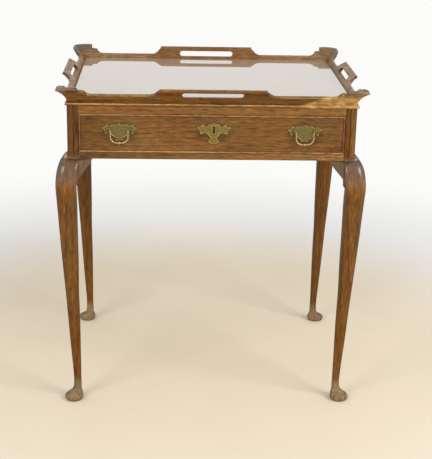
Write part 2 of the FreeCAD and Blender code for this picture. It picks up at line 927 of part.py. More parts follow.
# Tray gallery. The cove is an arc about an axis outside the board; angles on it are measured
# from level towards the tray. A board's top edge is cut square to the cove, at an angle that
# follows the outline: a drooping horn at each corner, a shoulder, a low run and the raised
# hand-hold in the middle.
tray_floor = case_top_height + tray_gap
bead_top = tray_floor + bead_height
axis_out = cove_radius * math.cos(math.radians(cove_start_angle)) - cove_inset
axis_height = bead_top - cove_radius * math.sin(math.radians(cove_start_angle))
cutter_reach_share = 1.6
low_angle = 36.4
block_angle = 63.0
corner_run = 50.0
block_ramp = 18.0
horn_outline_shares = [
    # distance in from the case corner as a share of the corner run, angle
    (-0.60, 60.5),
    (-0.36, 63.5),
    (-0.16, 67.5),
    (0.08, 70.0),
    (0.32, 70.0),
    (0.48, 68.5),
]
side_horn_outline_shares = [
    # the side boards' horns stand lower and meet the long boards' only at the mitre
    (-0.60, 60.5),
    (-0.36, 63.5),
    (-0.16, 64.0),
    (0.08, 62.5),
    (0.32, 58.5),
    (0.48, 55.0),
]
shoulder_outline_shares = [
    (0.48, 52.5),
    (0.72, 51.0),
    (0.77, 45.5),
    (0.84, 40.5),
    (0.92, 37.6),
    (1.00, low_angle),
]
block_ramp_shares = [(1.00, low_angle), (0.72, 38.5), (0.44, 43.0), (0.22, 49.5), (0.00, 56.0)]


def cove_point(x, radius, angle):
    turn = math.radians(angle)
    return Vector(x, radius * math.cos(turn) - axis_out, axis_height + radius * math.sin(turn))


def edge_cutter(stations):
    """Solid above a top edge: stations are (x, angle), and each cut is square to the cove."""
    wires = []
    for x, angle in stations:
        near = cove_radius - cove_inset
        far = cove_radius * cutter_reach_share
        beyond = horn_angle + cove_start_angle
        corners = [
            cove_point(x, near, angle),
            cove_point(x, far, angle),
            cove_point(x, far, beyond),
            cove_point(x, near, beyond),
        ]
        wires.append(Part.makePolygon(corners + [corners[0]]))
    return Part.makeLoft(wires, True, True)


def cove_profile(x):
    """Section of a gallery board: outer cove, square rim, inner face and foot."""
    outer_foot = cove_point(x, cove_radius, cove_start_angle)
    outer_rim = cove_point(x, cove_radius, horn_angle)
    middle_angle = (cove_start_angle + horn_angle) / 2
    middle_thickness = (gallery_foot_thickness + gallery_rim_thickness) / 2
    inner_rim = cove_point(x, cove_radius + gallery_rim_thickness, horn_angle)
    inner_middle = cove_point(x, cove_radius + middle_thickness, middle_angle)
    inner_foot = Vector(x, cove_inset + gallery_foot_thickness, bead_top)
    return Part.Wire(
        [
            Part.Arc(outer_foot, cove_point(x, cove_radius, middle_angle), outer_rim).toShape(),
            Part.makeLine(outer_rim, inner_rim),
            Part.Arc(inner_rim, inner_middle, inner_foot).toShape(),
            Part.makeLine(inner_foot, Vector(x, inner_foot.y, tray_floor)),
            Part.makeLine(Vector(x, inner_foot.y, tray_floor), Vector(x, cove_inset, tray_floor)),
            Part.makeLine(Vector(x, cove_inset, tray_floor), outer_foot),
        ]
    )


def mitred(strip, half_length):
    """Cut both ends of a strip at 45 degrees through the case corner."""
    reach = 2 * cove_radius
    wedge = prism(
        [
            (half_length + reach, -reach, tray_floor - overrun),
            (half_length + 2 * reach, -reach, tray_floor - overrun),
            (half_length + 2 * reach, reach, tray_floor - overrun),
            (half_length - reach, reach, tray_floor - overrun),
        ],
        up * (2 * reach),
    )
    return strip.cut([wedge, flip_x(wedge)])


def gallery_board(half_length, outline_shares, block_half, slot_length):
    reach = cove_radius
    board = Part.Face(cove_profile(-half_length - reach)).extrude(Vector(2 * (half_length + reach), 0, 0))
    horn = edge_cutter([(half_length - corner_run * share, angle) for share, angle in outline_shares])
    middle = [(half_length - corner_run * share, angle) for share, angle in shoulder_outline_shares]
    middle += [(block_half + block_ramp * share, angle) for share, angle in block_ramp_shares]
    low = edge_cutter(middle)
    hand_hold = edge_cutter([(block_half, block_angle), (-block_half, block_angle)])
    round_radius = slot_height / 2
    straight = slot_length / 2 - round_radius
    through = cove_radius / 2
    centre = cove_point(0, cove_radius + gallery_rim_thickness / 2, slot_angle)
    base = centre - back_y * through
    slot = Part.makeBox(
        2 * straight, 2 * through, slot_height, base + Vector(-straight, 0, -round_radius)
    )
    for end in (-straight, straight):
        slot = slot.fuse(Part.makeCylinder(round_radius, 2 * through, base + Vector(end, 0, 0), back_y))
    board = board.cut([horn, flip_x(horn), low, flip_x(low), hand_hold, slot])
    return mitred(board, half_length)


def tray_bead(half_length):
    """Astragal planted on the foot of a gallery board."""
    x = -half_length - cove_radius
    nose = -bead_projection + bead_round
    profile = Part.Wire(
        [
            Part.makeLine(Vector(x, cove_inset, tray_floor), Vector(x, nose, tray_floor)),
            Part.Arc(
                Vector(x, nose, tray_floor),
                Vector(x, -bead_projection, tray_floor + bead_height / 2),
                Vector(x, nose, bead_top),
            ).toShape(),
            Part.makeLine(Vector(x, nose, bead_top), Vector(x, cove_inset, bead_top)),
            Part.makeLine(Vector(x, cove_inset, bead_top), Vector(x, cove_inset, tray_floor)),
        ]
    )
    strip = Part.Face(profile).extrude(Vector(-2 * x, 0, 0))
    return mitred(strip, half_length)


long_board = gallery_board(half_width, horn_outline_shares, front_block_half_length, front_slot_length)
short_board = gallery_board(half_depth, side_horn_outline_shares, side_block_half_length, side_slot_length)
long_tray_bead = tray_bead(half_width)
short_tray_bead = tray_bead(half_depth)
for name, board, strip, distance, quarters in (
    ("front", long_board, long_tray_bead, half_depth, 0),
    ("right", short_board, short_tray_bead, half_width, 1),
    ("back", long_board, long_tray_bead, half_depth, 2),
    ("left", short_board, short_tray_bead, half_width, 3),
):
    for label, shape in (("gallery_", board), ("tray_bead_", strip)):
        placed = shape.copy()
        placed.translate(Vector(0, -distance, 0))
        placed.rotate(origin, up, quarters * quarter_turn)
        save(label + name, placed)

# Tray bottom, the glass plate that lies on it, and two battens below that keep the loose tray
# in place between the front and back rails.
inset = cove_inset + gallery_foot_thickness
tray_top = tray_floor + tray_bottom_thickness
tray_bottom = block(
    -half_width + inset, -half_depth + inset, tray_floor, half_width - inset, half_depth - inset, tray_top
)
save("tray_bottom", tray_bottom)
glass_inset = inset + glass_edge_gap
save(
    "glass_plate",
    block(
        -half_width + glass_inset,
        -half_depth + glass_inset,
        tray_top,
        half_width - glass_inset,
        half_depth - glass_inset,
        tray_top + glass_thickness,
    ),
)
batten_end = inner_rail_x - runner_width - batten_width
batten_y = inner_post_y - drawer_gap
front_batten = block(
    -batten_end, -batten_y, tray_floor - batten_height, batten_end, -batten_y + batten_width, tray_floor
)
rear_batten_y = back_rail_face - drawer_gap
rear_batten = block(
    -batten_end,
    rear_batten_y - batten_width,
    tray_floor - batten_height,
    batten_end,
    rear_batten_y,
    tray_floor,
)
save("tray_battens", front_batten, rear_batten)
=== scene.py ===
import json
import math

import bmesh
import bpy
from mathutils import Matrix, Vector

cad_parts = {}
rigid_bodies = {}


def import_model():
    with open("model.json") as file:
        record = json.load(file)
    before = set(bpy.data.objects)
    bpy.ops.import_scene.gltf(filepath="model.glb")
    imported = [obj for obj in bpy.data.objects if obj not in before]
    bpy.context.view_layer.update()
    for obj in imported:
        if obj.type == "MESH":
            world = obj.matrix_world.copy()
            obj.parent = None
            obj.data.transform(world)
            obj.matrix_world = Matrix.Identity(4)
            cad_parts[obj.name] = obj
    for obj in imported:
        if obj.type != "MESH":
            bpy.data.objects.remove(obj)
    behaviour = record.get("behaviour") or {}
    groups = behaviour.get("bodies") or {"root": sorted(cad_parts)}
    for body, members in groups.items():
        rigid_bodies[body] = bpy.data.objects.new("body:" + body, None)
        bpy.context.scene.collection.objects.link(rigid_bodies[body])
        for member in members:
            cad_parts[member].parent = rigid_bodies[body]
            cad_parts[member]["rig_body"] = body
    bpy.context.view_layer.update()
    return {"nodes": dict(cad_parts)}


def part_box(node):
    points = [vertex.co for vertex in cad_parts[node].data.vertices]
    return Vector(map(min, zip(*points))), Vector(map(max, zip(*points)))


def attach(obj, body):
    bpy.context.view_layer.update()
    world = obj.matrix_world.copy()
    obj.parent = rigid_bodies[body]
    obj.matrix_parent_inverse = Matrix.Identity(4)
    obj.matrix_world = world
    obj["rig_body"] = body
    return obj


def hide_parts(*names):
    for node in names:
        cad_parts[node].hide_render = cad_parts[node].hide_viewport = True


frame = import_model()

# Legs: four cabriole legs of solid oak, each cut from one square length with its corner post and
# its pad foot. They were stained and waxed long ago, so the knees have gone grey where sleeves
# and dusters rub them, and the feet are bare from mops.
case_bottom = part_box("front_rail_bottom")[0].z
case_half_width = -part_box("side_rail_left")[0].x
case_half_depth = -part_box("front_rail_bottom")[0].y
post_line_inset = 0.0135
post_line_half_width = 0.0011
# The painted highlight on each front post runs between these two insets from its side.
post_highlight_low = 0.0025
post_highlight_high = 0.0115
knee_grey_low = case_bottom - 0.052
knee_grey_high = case_bottom - 0.012
foot_bare_high = 0.058
foot_bare_low = 0.030
left_legs, right_legs = -0.1, 0.1
leg_edge = 0.0005
merge_distance = 2e-6
flat_angle = math.radians(0.3)
hard_angle = math.radians(35)
smooth_angle = math.radians(38)
edge_segments = 2


def add(tree, kind, **values):
    """A shader node. Each value is a setting of the node, an input's value, or a socket to join."""
    made = tree.nodes.new("ShaderNode" + kind)
    for name, value in values.items():
        if hasattr(made, name):
            setattr(made, name, value)
    for name, value in values.items():
        label = name.replace("_", " ")
        if hasattr(made, name) or label not in made.inputs:
            continue
        if isinstance(value, bpy.types.NodeSocket):
            tree.links.new(value, made.inputs[label])
        else:
            made.inputs[label].default_value = value
    return made


def join(tree, value, socket):
    if isinstance(value, bpy.types.NodeSocket):
        tree.links.new(value, socket)
    else:
        socket.default_value = value


def maths(tree, operation, first, second=0.0, third=0.0):
    made = tree.nodes.new("ShaderNodeMath")
    made.operation = operation
    for value, socket in zip((first, second, third), made.inputs):
        join(tree, value, socket)
    return made.outputs[0]


def between(tree, value, low, high, start=0.0, end=1.0):
    """Smooth rise from start to end as value goes from low to high."""
    made = tree.nodes.new("ShaderNodeMapRange")
    made.interpolation_type = "SMOOTHSTEP"
    for item, socket in zip((value, low, high, start, end), made.inputs):
        join(tree, item, socket)
    return made.outputs[0]


def blend(tree, share, first, second, kind="MIX"):
    made = tree.nodes.new("ShaderNodeMix")
    made.data_type = "RGBA"
    made.blend_type = kind
    made.clamp_factor = True
    for value, socket in zip((share, first, second), (made.inputs[0], made.inputs[6], made.inputs[7])):
        join(tree, value, socket)
    return made.outputs[2]


def new_group(name, takes, gives):
    """A shared shader effect: takes and gives are (name, kind) or (name, kind, value)."""
    tree = bpy.data.node_groups.new(name, "ShaderNodeTree")
    for label, kind, *value in takes:
        socket = tree.interface.new_socket(label, in_out="INPUT", socket_type="NodeSocket" + kind)
        if value:
            socket.default_value = value[0]
    for label, kind in gives:
        tree.interface.new_socket(label, in_out="OUTPUT", socket_type="NodeSocket" + kind)
    given = tree.nodes.new("NodeGroupInput").outputs
    result = tree.nodes.new("NodeGroupOutput").inputs
    return tree, given, result


def place_group(tree, group, **values):
    made = tree.nodes.new("ShaderNodeGroup")
    made.node_tree = group
    for name, value in values.items():
        join(tree, value, made.inputs[name.replace("_", " ")])
    return made.outputs


def noise(tree, place, scale, detail, roughness=0.5):
    made = add(tree, "TexNoise", Vector=place, Scale=scale, Detail=detail, Roughness=roughness)
    return made.outputs["Fac"]


def stretched(tree, place, scale):
    return add(tree, "Mapping", Vector=place, Scale=scale).outputs[0]


# Figure of the oak: how fine each mark is, twice across the grain and once along it, before the
# figure is drawn out by a board's own length.
ring_sway_scale = (1.0, 1.0, 0.10)
fibre_scale = (380.0, 380.0, 85.0)
streak_scale = (150.0, 150.0, 24.0)
pore_scale = (760.0, 760.0, 55.0)
hue_scale = (45.0, 45.0, 14.0)


def oak_figure_group():
    """Oak seen along its grain, which runs up Z: growth rings, fibres and open pores."""
    tree, given, result = new_group(
        "oak_figure",
        [
            ("Vector", "Vector"),
            ("Pale", "Color"),
            ("Mid", "Color"),
            ("Dark", "Color"),
            ("Ring Scale", "Float", 50.0),
            ("Pores", "Float", 0.5),
        ],
        [("Color", "Color"), ("Height", "Float"), ("Tone", "Float")],
    )
    place = given["Vector"]
    slow = stretched(tree, place, ring_sway_scale)
    sway = add(tree, "TexNoise", Vector=slow, Scale=14.0, Detail=2.0, Roughness=0.5)
    centred = add(tree, "VectorMath", operation="SUBTRACT")
    join(tree, sway.outputs["Color"], centred.inputs[0])
    centred.inputs[1].default_value = (0.5, 0.5, 0.5)
    swayed = add(tree, "VectorMath", operation="SCALE", Scale=0.030)
    join(tree, centred.outputs[0], swayed.inputs[0])
    moved = add(tree, "VectorMath", operation="ADD")
    join(tree, slow, moved.inputs[0])
    join(tree, swayed.outputs[0], moved.inputs[1])
    rings = add(
        tree,
        "TexWave",
        wave_type="RINGS",
        rings_direction="Z",
        wave_profile="SAW",
        Vector=moved.outputs[0],
        Scale=given["Ring Scale"],
        Distortion=1.2,
        Detail=2.0,
        Detail_Scale=2.0,
    ).outputs["Fac"]
    fibres = noise(tree, stretched(tree, place, fibre_scale), 1.0, 3.0, 0.6)
    streaks = noise(tree, stretched(tree, place, streak_scale), 1.0, 2.0)
    cloud = noise(tree, place, 9.0, 2.0)
    pore_noise = noise(tree, stretched(tree, place, pore_scale), 1.0, 1.0, 0.4)
    early_wood = between(tree, rings, 0.55, 0.95, 0.4, 1.0)
    pores = maths(tree, "MULTIPLY", between(tree, pore_noise, 0.52, 0.64), early_wood)
    tone = maths(tree, "MULTIPLY_ADD", rings, -0.18, 0.59)
    tone = maths(tree, "MULTIPLY_ADD", maths(tree, "SUBTRACT", fibres, 0.5), 1.75, tone)
    tone = maths(tree, "MULTIPLY_ADD", maths(tree, "SUBTRACT", streaks, 0.5), 0.60, tone)
    tone = maths(tree, "MULTIPLY_ADD", maths(tree, "SUBTRACT", cloud, 0.5), 0.55, tone)
    low_half = blend(tree, between(tree, tone, 0.05, 0.5), given["Dark"], given["Mid"])
    figured = blend(tree, between(tree, tone, 0.5, 0.95), low_half, given["Pale"])
    hue = between(tree, noise(tree, stretched(tree, place, hue_scale), 1.0, 2.0), 0.35, 0.65)
    stain = blend(tree, hue, (1.06, 0.98, 0.95, 1.0), (0.94, 1.02, 1.05, 1.0))
    figured = blend(tree, 1.0, figured, stain, "MULTIPLY")
    pore_share = maths(tree, "MULTIPLY", pores, given["Pores"])
    join(tree, blend(tree, pore_share, figured, given["Dark"], "MULTIPLY"), result["Color"])
    raised = maths(tree, "MULTIPLY_ADD", fibres, 0.4, 0.6)
    join(tree, maths(tree, "MULTIPLY_ADD", pores, -0.6, raised), result["Height"])
    join(tree, tone, result["Tone"])
    return tree


def wear_and_painted_light_group():
    """Another colour where the mask is 1, in broken patches that keep the oak's figure: wear, stains
    and painted shade or highlights alike.
    """
    tree, given, result = new_group(
        "wear_and_painted_light",
        [
            ("Color", "Color"),
            ("Vector", "Vector"),
            ("Mask", "Float", 0.0),
            ("Bare", "Color"),
            ("Patchiness", "Float", 0.5),
            ("Patch Scale", "Float", 60.0),
            ("Tone", "Float", 0.5),
        ],
        [("Color", "Color"), ("Worn", "Float")],
    )
    patches = noise(tree, given["Vector"], given["Patch Scale"], 3.0, 0.6)
    broken = between(tree, patches, 0.35, 0.62)
    kept = maths(tree, "SUBTRACT", 1.0, given["Patchiness"])
    amount = maths(tree, "MULTIPLY_ADD", broken, given["Patchiness"], kept)
    worn = maths(tree, "MULTIPLY", given["Mask"], amount)
    grain = between(tree, given["Tone"], 0.0, 1.0, 0.45, 1.55)
    bare = blend(tree, 1.0, given["Bare"], grain, "MULTIPLY")
    join(tree, blend(tree, worn, given["Color"], bare), result["Color"])
    join(tree, worn, result["Worn"])
    return tree


oak_figure = oak_figure_group()
wear_and_painted_light = wear_and_painted_light_group()


def grain_vector(tree, grain, heart, length):
    """Object coordinates turned so that the grain runs up Z, measured from the tree's heart.
    The figure is drawn out along the grain by length."""
    coordinates = add(tree, "TexCoord").outputs["Object"]
    axes = add(tree, "SeparateXYZ", Vector=coordinates).outputs
    order = {"X": ("Y", "Z", "X"), "Y": ("X", "Z", "Y"), "Z": ("X", "Y", "Z")}[grain]
    first, second, along = (axes[axis] for axis in order)
    turned = add(tree, "CombineXYZ", X=first, Y=second, Z=along).outputs[0]
    place, tilt = heart
    moved = add(tree, "Mapping", Vector=turned, Location=(-place[0], -place[1], 0.0)).outputs[0]
    tilted = add(tree, "Mapping", Vector=moved, Rotation=(tilt, -tilt * 0.6, 0.0)).outputs[0]
    return stretched(tree, tilted, (1.0, 1.0, 1.0 / length)), axes


def start_material(name):
    material = bpy.data.materials.new(name)
    material.use_nodes = True
    tree = material.node_tree
    tree.nodes.clear()
    shader = tree.nodes.new("ShaderNodeBsdfPrincipled")
    output = tree.nodes.new("ShaderNodeOutputMaterial")
    tree.links.new(shader.outputs[0], output.inputs[0])
    return material, tree, shader


def oak_material(
    name,
    grain,
    heart,
    pale,
    mid,
    dark,
    ring_scale=50.0,
    length=1.4,
    bare=None,
    patches=(),
    wax=None,
):
    """Old stained oak. Each patch is a function that returns a mask and a colour to lay over it.
    Where wax is given, the finish is glossy seen straight on, and painted shade darkens its colour
    seen aslant."""
    material, tree, shader = start_material(name)
    vector, axes = grain_vector(tree, grain, heart, length)
    figure = place_group(
        tree,
        oak_figure,
        Vector=vector,
        Pale=pale,
        Mid=mid,
        Dark=dark,
        Ring_Scale=ring_scale,
        Pores=0.65,
    )
    colour = figure["Color"]
    for patch in patches:
        mask, cover, patchiness = patch(tree, axes)
        colour = place_group(
            tree,
            wear_and_painted_light,
            Color=colour,
            Vector=vector,
            Mask=mask,
            Bare=cover,
            Patchiness=patchiness,
            Tone=figure["Tone"],
        )["Color"]
    rough = between(tree, figure["Tone"], 0.1, 0.9, 0.50, 0.38)
    if bare is not None:
        worn = add(tree, "Attribute", attribute_name="worn").outputs["Fac"]
        rubbed = place_group(
            tree,
            wear_and_painted_light,
            Color=colour,
            Vector=vector,
            Mask=worn,
            Bare=bare,
            Patchiness=0.55,
            Patch_Scale=45.0,
            Tone=figure["Tone"],
        )
        colour = rubbed["Color"]
    shader.inputs["Specular IOR Level"].default_value = 0.22
    shader.inputs["Coat Weight"].default_value = 0.05
    shader.inputs["Coat Roughness"].default_value = 0.25
    if wax is not None:
        # Painted shade: the colour is multiplied darker as the faces turn aslant towards the outline.
        facing = add(tree, "LayerWeight", Blend=0.5).outputs["Facing"]
        colour = blend(tree, 1.0, colour, between(tree, facing, 0.35, 0.90, 1.0, 0.45), "MULTIPLY")
        straight = between(tree, facing, 0.25, 0.75, 1.0, 0.0)
        join(tree, maths(tree, "MULTIPLY", wax(tree, axes), straight), shader.inputs["Coat Weight"])
        shader.inputs["Coat Roughness"].default_value = 0.26
        shader.inputs["Coat IOR"].default_value = 1.70
        shader.inputs["Specular IOR Level"].default_value = 0.08
    join(tree, colour, shader.inputs["Base Color"])
    join(tree, rough, shader.inputs["Roughness"])
    bump = add(tree, "Bump", Height=figure["Height"], Strength=0.25, Distance=0.0006)
    join(tree, bump.outputs[0], shader.inputs["Normal"])
    return material


def past_case(tree, axes):
    """How far a point lies outside the case's outline. Inside it this is negative."""
    across = maths(tree, "SUBTRACT", maths(tree, "ABSOLUTE", axes["X"]), case_half_width)
    along = maths(tree, "SUBTRACT", maths(tree, "ABSOLUTE", axes["Y"]), case_half_depth)
    return maths(tree, "MAXIMUM", across, along)


def knee_roll(tree, axes):
    """The top of each knee, where it stands out past the case."""
    return between(tree, past_case(tree, axes), 0.0004, 0.0020)


def grey_knees(tree, axes):
    """Grey on the knees, up to the case and over the rolls beside it."""
    under_case = between(tree, axes["Z"], case_bottom + 0.001, case_bottom + 0.002, 1.0, 0.0)
    open_side = maths(tree, "MAXIMUM", under_case, knee_roll(tree, axes))
    rise = between(tree, axes["Z"], knee_grey_low, knee_grey_high)
    return maths(tree, "MULTIPLY", rise, open_side), (0.095, 0.052, 0.022, 1.0), 0.70


def dusty_rolls(tree, axes):
    """Dust lies on the rolls beside the case, most of it on the left legs."""
    high = between(tree, axes["Z"], case_bottom - 0.0010, case_bottom + 0.0030)
    side = between(tree, axes["X"], left_legs, right_legs, 0.85, 0.30)
    dusty = maths(tree, "MULTIPLY", maths(tree, "MULTIPLY", knee_roll(tree, axes), high), side)
    return dusty, (0.400, 0.330, 0.255, 1.0), 0.25


def joint_shadow_line(tree, axes):
    """Painted shadow: a dark line where the knees and ears meet the case."""
    rise = between(tree, axes["Z"], case_bottom - 0.0036, case_bottom - 0.0010, 0.0, 0.6)
    fall = between(tree, axes["Z"], case_bottom + 0.0002, case_bottom + 0.0010, 1.0, 0.0)
    return maths(tree, "MULTIPLY", rise, fall), (0.045, 0.027, 0.014, 1.0), 0.6


def bare_feet(tree, axes):
    """The feet have lost their stain to the mop."""
    low = between(tree, axes["Z"], foot_bare_low, foot_bare_high, 1.0, 0.0)
    return low, (0.240, 0.170, 0.095, 1.0), 0.40


def honey_wax_and_highlight(tree, axes):
    """Warm band just below the grey of the knees: partly the colour of the wax where it is thickest,
    partly a painted highlight.
    """
    rise = between(tree, axes["Z"], case_bottom - 0.085, case_bottom - 0.045)
    fall = between(tree, axes["Z"], case_bottom - 0.040, case_bottom - 0.028, 1.0, 0.0)
    return maths(tree, "MULTIPLY", rise, fall), (0.250, 0.092, 0.012, 1.0), 0.9


def polished_knees(tree, axes):
    """Share of gloss: the knees shine, the rest of the leg is duller."""
    rise = between(tree, axes["Z"], case_bottom - 0.070, case_bottom - 0.035, 0.12, 0.75)
    post = between(tree, axes["Z"], case_bottom, case_bottom + 0.01, 0.75, 0.08)
    return maths(tree, "MINIMUM", rise, maths(tree, "MAXIMUM", post, knee_roll(tree, axes)))


def dark_posts(tree, axes):
    """The posts are darker than the knees, the left ones most."""
    rise = between(tree, axes["Z"], case_bottom, case_bottom + 0.02)
    side = between(tree, axes["X"], left_legs, right_legs, 0.85, 0.45)
    return maths(tree, "MULTIPLY", rise, side), (0.110, 0.040, 0.008, 1.0), 0.55


def post_face(tree, axes, mask):
    """Keeps a mask to the front faces of the front posts."""
    face = -case_half_depth
    front = between(tree, axes["Y"], face + 0.0010, face + 0.0016, 1.0, 0.0)
    post = between(tree, axes["Z"], case_bottom + 0.004, case_bottom + 0.012)
    return maths(tree, "MULTIPLY", maths(tree, "MULTIPLY", mask, front), post)


def inset_from_side(tree, axes):
    return maths(tree, "SUBTRACT", case_half_width, maths(tree, "ABSOLUTE", axes["X"]))


def quirk_shade_lines(tree, axes):
    """Painted shade of a quirk that the mesh leaves uncut: a thin dark line down the front face of
    each post.
    """
    inset = maths(tree, "SUBTRACT", inset_from_side(tree, axes), post_line_inset)
    line = between(tree, maths(tree, "ABSOLUTE", inset), 0.0004, post_line_half_width, 1.0, 0.0)
    return post_face(tree, axes, line), (0.030, 0.012, 0.003, 1.0), 0.25


def post_corner_highlights(tree, axes):
    """Painted highlight on the strip between the quirk and the corner, where the rounded corner
    catches the light, stronger on the right post.
    """
    inset = inset_from_side(tree, axes)
    outer = between(tree, inset, post_highlight_low, post_highlight_low + 0.002)
    inner = between(tree, inset, post_highlight_high - 0.002, post_highlight_high, 1.0, 0.0)
    side = between(tree, axes["X"], left_legs, right_legs, 0.12, 0.85)
    strip = maths(tree, "MULTIPLY", maths(tree, "MULTIPLY", outer, inner), side)
    return post_face(tree, axes, strip), (0.245, 0.120, 0.024, 1.0), 0.45


oak_legs = oak_material(
    "oak_legs",
    "Z",
    ((0.0, 0.0), 0.004),
    pale=(0.252, 0.108, 0.019, 1.0),
    mid=(0.164, 0.061, 0.008, 1.0),
    dark=(0.082, 0.029, 0.004, 1.0),
    ring_scale=26.0,
    length=2.4,
    bare=(0.280, 0.150, 0.060, 1.0),
    patches=(
        honey_wax_and_highlight,
        grey_knees,
        bare_feet,
        dark_posts,
        dusty_rolls,
        joint_shadow_line,
        post_corner_highlights,
        quirk_shade_lines,
    ),
    wax=polished_knees,
)


def finish_piece(shape, name, node, material):
    """Puts a finished shape in the scene, in place of the node it stands for."""
    mesh = bpy.data.meshes.new(name)
    shape.to_mesh(mesh)
    shape.free()
    mesh.materials.clear()
    mesh.materials.append(material)
    for polygon in mesh.polygons:
        polygon.use_smooth = True
    mesh.set_sharp_from_angle(angle=smooth_angle)
    piece = bpy.data.objects.new(name, mesh)
    bpy.context.scene.collection.objects.link(piece)
    flat_faces = piece.modifiers.new("flat_faces", "WEIGHTED_NORMAL")
    flat_faces.keep_sharp = True
    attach(piece, frame["nodes"][node]["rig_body"])
    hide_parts(node)


def node_shape(node):
    """The node's mesh, merged, with each flat face whole."""
    shape = bmesh.new()
    shape.from_mesh(frame["nodes"][node].data)
    bmesh.ops.remove_doubles(shape, verts=shape.verts, dist=merge_distance)
    bmesh.ops.dissolve_limit(shape, angle_limit=flat_angle, verts=shape.verts, edges=shape.edges)
    return shape


def soften(shape, width):
    """Rounds every hard edge a little and marks the rounded faces as worn."""
    worn = shape.faces.layers.float.new("worn")
    closed = [edge for edge in shape.edges if edge.is_manifold]
    hard = [edge for edge in closed if edge.calc_face_angle() > hard_angle]
    rounded = bmesh.ops.bevel(
        shape,
        geom=hard,
        offset=width,
        offset_type="OFFSET",
        segments=edge_segments,
        profile=0.5,
        affect="EDGES",
        clamp_overlap=True,
        material=-1,
    )
    for face in rounded["faces"]:
        face[worn] = 1.0


def softened_piece(name, node, material, width):
    shape = node_shape(node)
    soften(shape, width)
    finish_piece(shape, name, node, material)


for end in ("front", "rear"):
    for side in ("left", "right"):
        corner = f"{end}_{side}"
        ears = f"knee_brackets_{corner}"
        softened_piece(f"oak_leg_{corner}", f"leg_{corner}", oak_legs, leg_edge)
        softened_piece(f"oak_ears_{corner}", ears, oak_legs, leg_edge)

# Case: oak rails tenoned into the posts, with a thin rail above and below the drawer. They are a
# little paler than the posts. The rail below the drawer is stained dark at its left half, rubbed
# at its right and painted with a shadow along the drawer's gap, marks that the foot of the back
# rail shares.
rail_edge = 0.0006
rail_tones = dict(
    pale=(0.330, 0.156, 0.034, 1.0),
    mid=(0.232, 0.100, 0.019, 1.0),
    dark=(0.115, 0.044, 0.008, 1.0),
    bare=(0.340, 0.190, 0.080, 1.0),
    ring_scale=34.0,
)
front_heart = ((-case_half_depth + 0.05, case_bottom - 0.02), 0.010)


def stained_end(tree, axes):
    """The left half of the rail below the drawer has a dark stain."""
    low = between(tree, axes["Z"], case_bottom + 0.016, case_bottom + 0.020, 1.0, 0.0)
    left = between(tree, axes["X"], -0.24, 0.06, 1.0, 0.0)
    return maths(tree, "MULTIPLY", low, left), (0.105, 0.042, 0.006, 1.0), 0.35


def rubbed_end(tree, axes):
    """The right half of the rail below the drawer is rubbed pale."""
    low = between(tree, axes["Z"], case_bottom + 0.016, case_bottom + 0.020, 1.0, 0.0)
    right = between(tree, axes["X"], 0.02, 0.26)
    return maths(tree, "MULTIPLY", low, right), (0.310, 0.150, 0.042, 1.0), 0.45


def gap_shadow(tree, axes):
    """Painted shadow of the drawer's gap, on the top edge of the rail below it."""
    rail_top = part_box("front_rail_bottom")[1].z
    rise = between(tree, axes["Z"], rail_top - 0.0026, rail_top - 0.0006, 0.0, 0.8)
    fall = between(tree, axes["Z"], rail_top, rail_top + 0.002, 1.0, 0.0)
    return maths(tree, "MULTIPLY", rise, fall), (0.050, 0.020, 0.004, 1.0), 0.35


def unstained_inside(tree, axes):
    """The stain stops just inside the case's outline, and the rest was left as it was planed."""
    inside = between(tree, past_case(tree, axes), -0.006, -0.003, 1.0, 0.0)
    return inside, (0.380, 0.245, 0.125, 1.0), 0.10


rail_patches = (stained_end, rubbed_end, gap_shadow, unstained_inside)
oak_rails = oak_material("oak_rails", "X", front_heart, patches=rail_patches, **rail_tones)
side_heart = ((-case_half_width + 0.05, case_bottom - 0.02), 0.010)
side_patches = (unstained_inside,)
oak_side_rails = oak_material("oak_side_rails", "Y", side_heart, patches=side_patches, **rail_tones)
for node in ("front_rail_top", "front_rail_backing", "front_rail_bottom", "back_rail"):
    softened_piece("oak_" + node, node, oak_rails, rail_edge)
for node in ("side_rail_left", "side_rail_right"):
    softened_piece("oak_" + node, node, oak_side_rails, rail_edge)

# Inside of the case and the drawer: planed oak that was never stained. The drawer's sides, back and
# bottom are dovetailed and grooved together, and it slides between runners, guides and kickers.
inside_edge = 0.0004
inside_tones = dict(
    pale=(0.440, 0.300, 0.165, 1.0),
    mid=(0.385, 0.252, 0.132, 1.0),
    dark=(0.300, 0.188, 0.092, 1.0),
    bare=(0.480, 0.340, 0.200, 1.0),
    ring_scale=30.0,
    length=2.4,
)
bare_oak_long = oak_material("bare_oak_long", "Y", ((0.1, 0.5), 0.01), **inside_tones)
bare_oak_cross = oak_material("bare_oak_cross", "X", ((0.3, 0.5), 0.01), **inside_tones)
for side in ("left", "right"):
    for part in ("runner", "guide", "kicker"):
        node = f"drawer_{part}_{side}"
        softened_piece("bare_" + node, node, bare_oak_long, inside_edge)
    node = f"drawer_side_{side}"
    softened_piece(f"bare_side_{side}", node, bare_oak_long, inside_edge)
for node in ("drawer_stops", "drawer_back", "drawer_bottom", "tray_battens"):
    softened_piece("bare_" + node, node, bare_oak_cross, inside_edge)

# Drawer front: one oak board, darker towards its ends, where polish and dirt have built up, and
# round the brasses, where old polish lies under a painted shadow; painted shade lines the corner
# along its cock beads. A cock bead stands proud round it, rubbed pale along its nose, where a
# painted highlight lies too.
drawer_low, drawer_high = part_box("drawer_front")
end_stain = (0.098, 0.036, 0.004, 1.0)
drawer_front_edge = 0.0004
cock_bead_edge = 0.0002
brasses = (("pull_plate_left", "bail_left"), ("pull_plate_right", "bail_right"), ("escutcheon",))


def dark_left_end(tree, axes):
    mask = between(tree, axes["X"], -drawer_high.x, -drawer_high.x * 0.60, 0.9, 0.0)
    return mask, end_stain, 0.35


def dark_right_end(tree, axes):
    mask = between(tree, axes["X"], drawer_high.x * 0.82, drawer_high.x, 0.0, 0.45)
    return mask, end_stain, 0.45


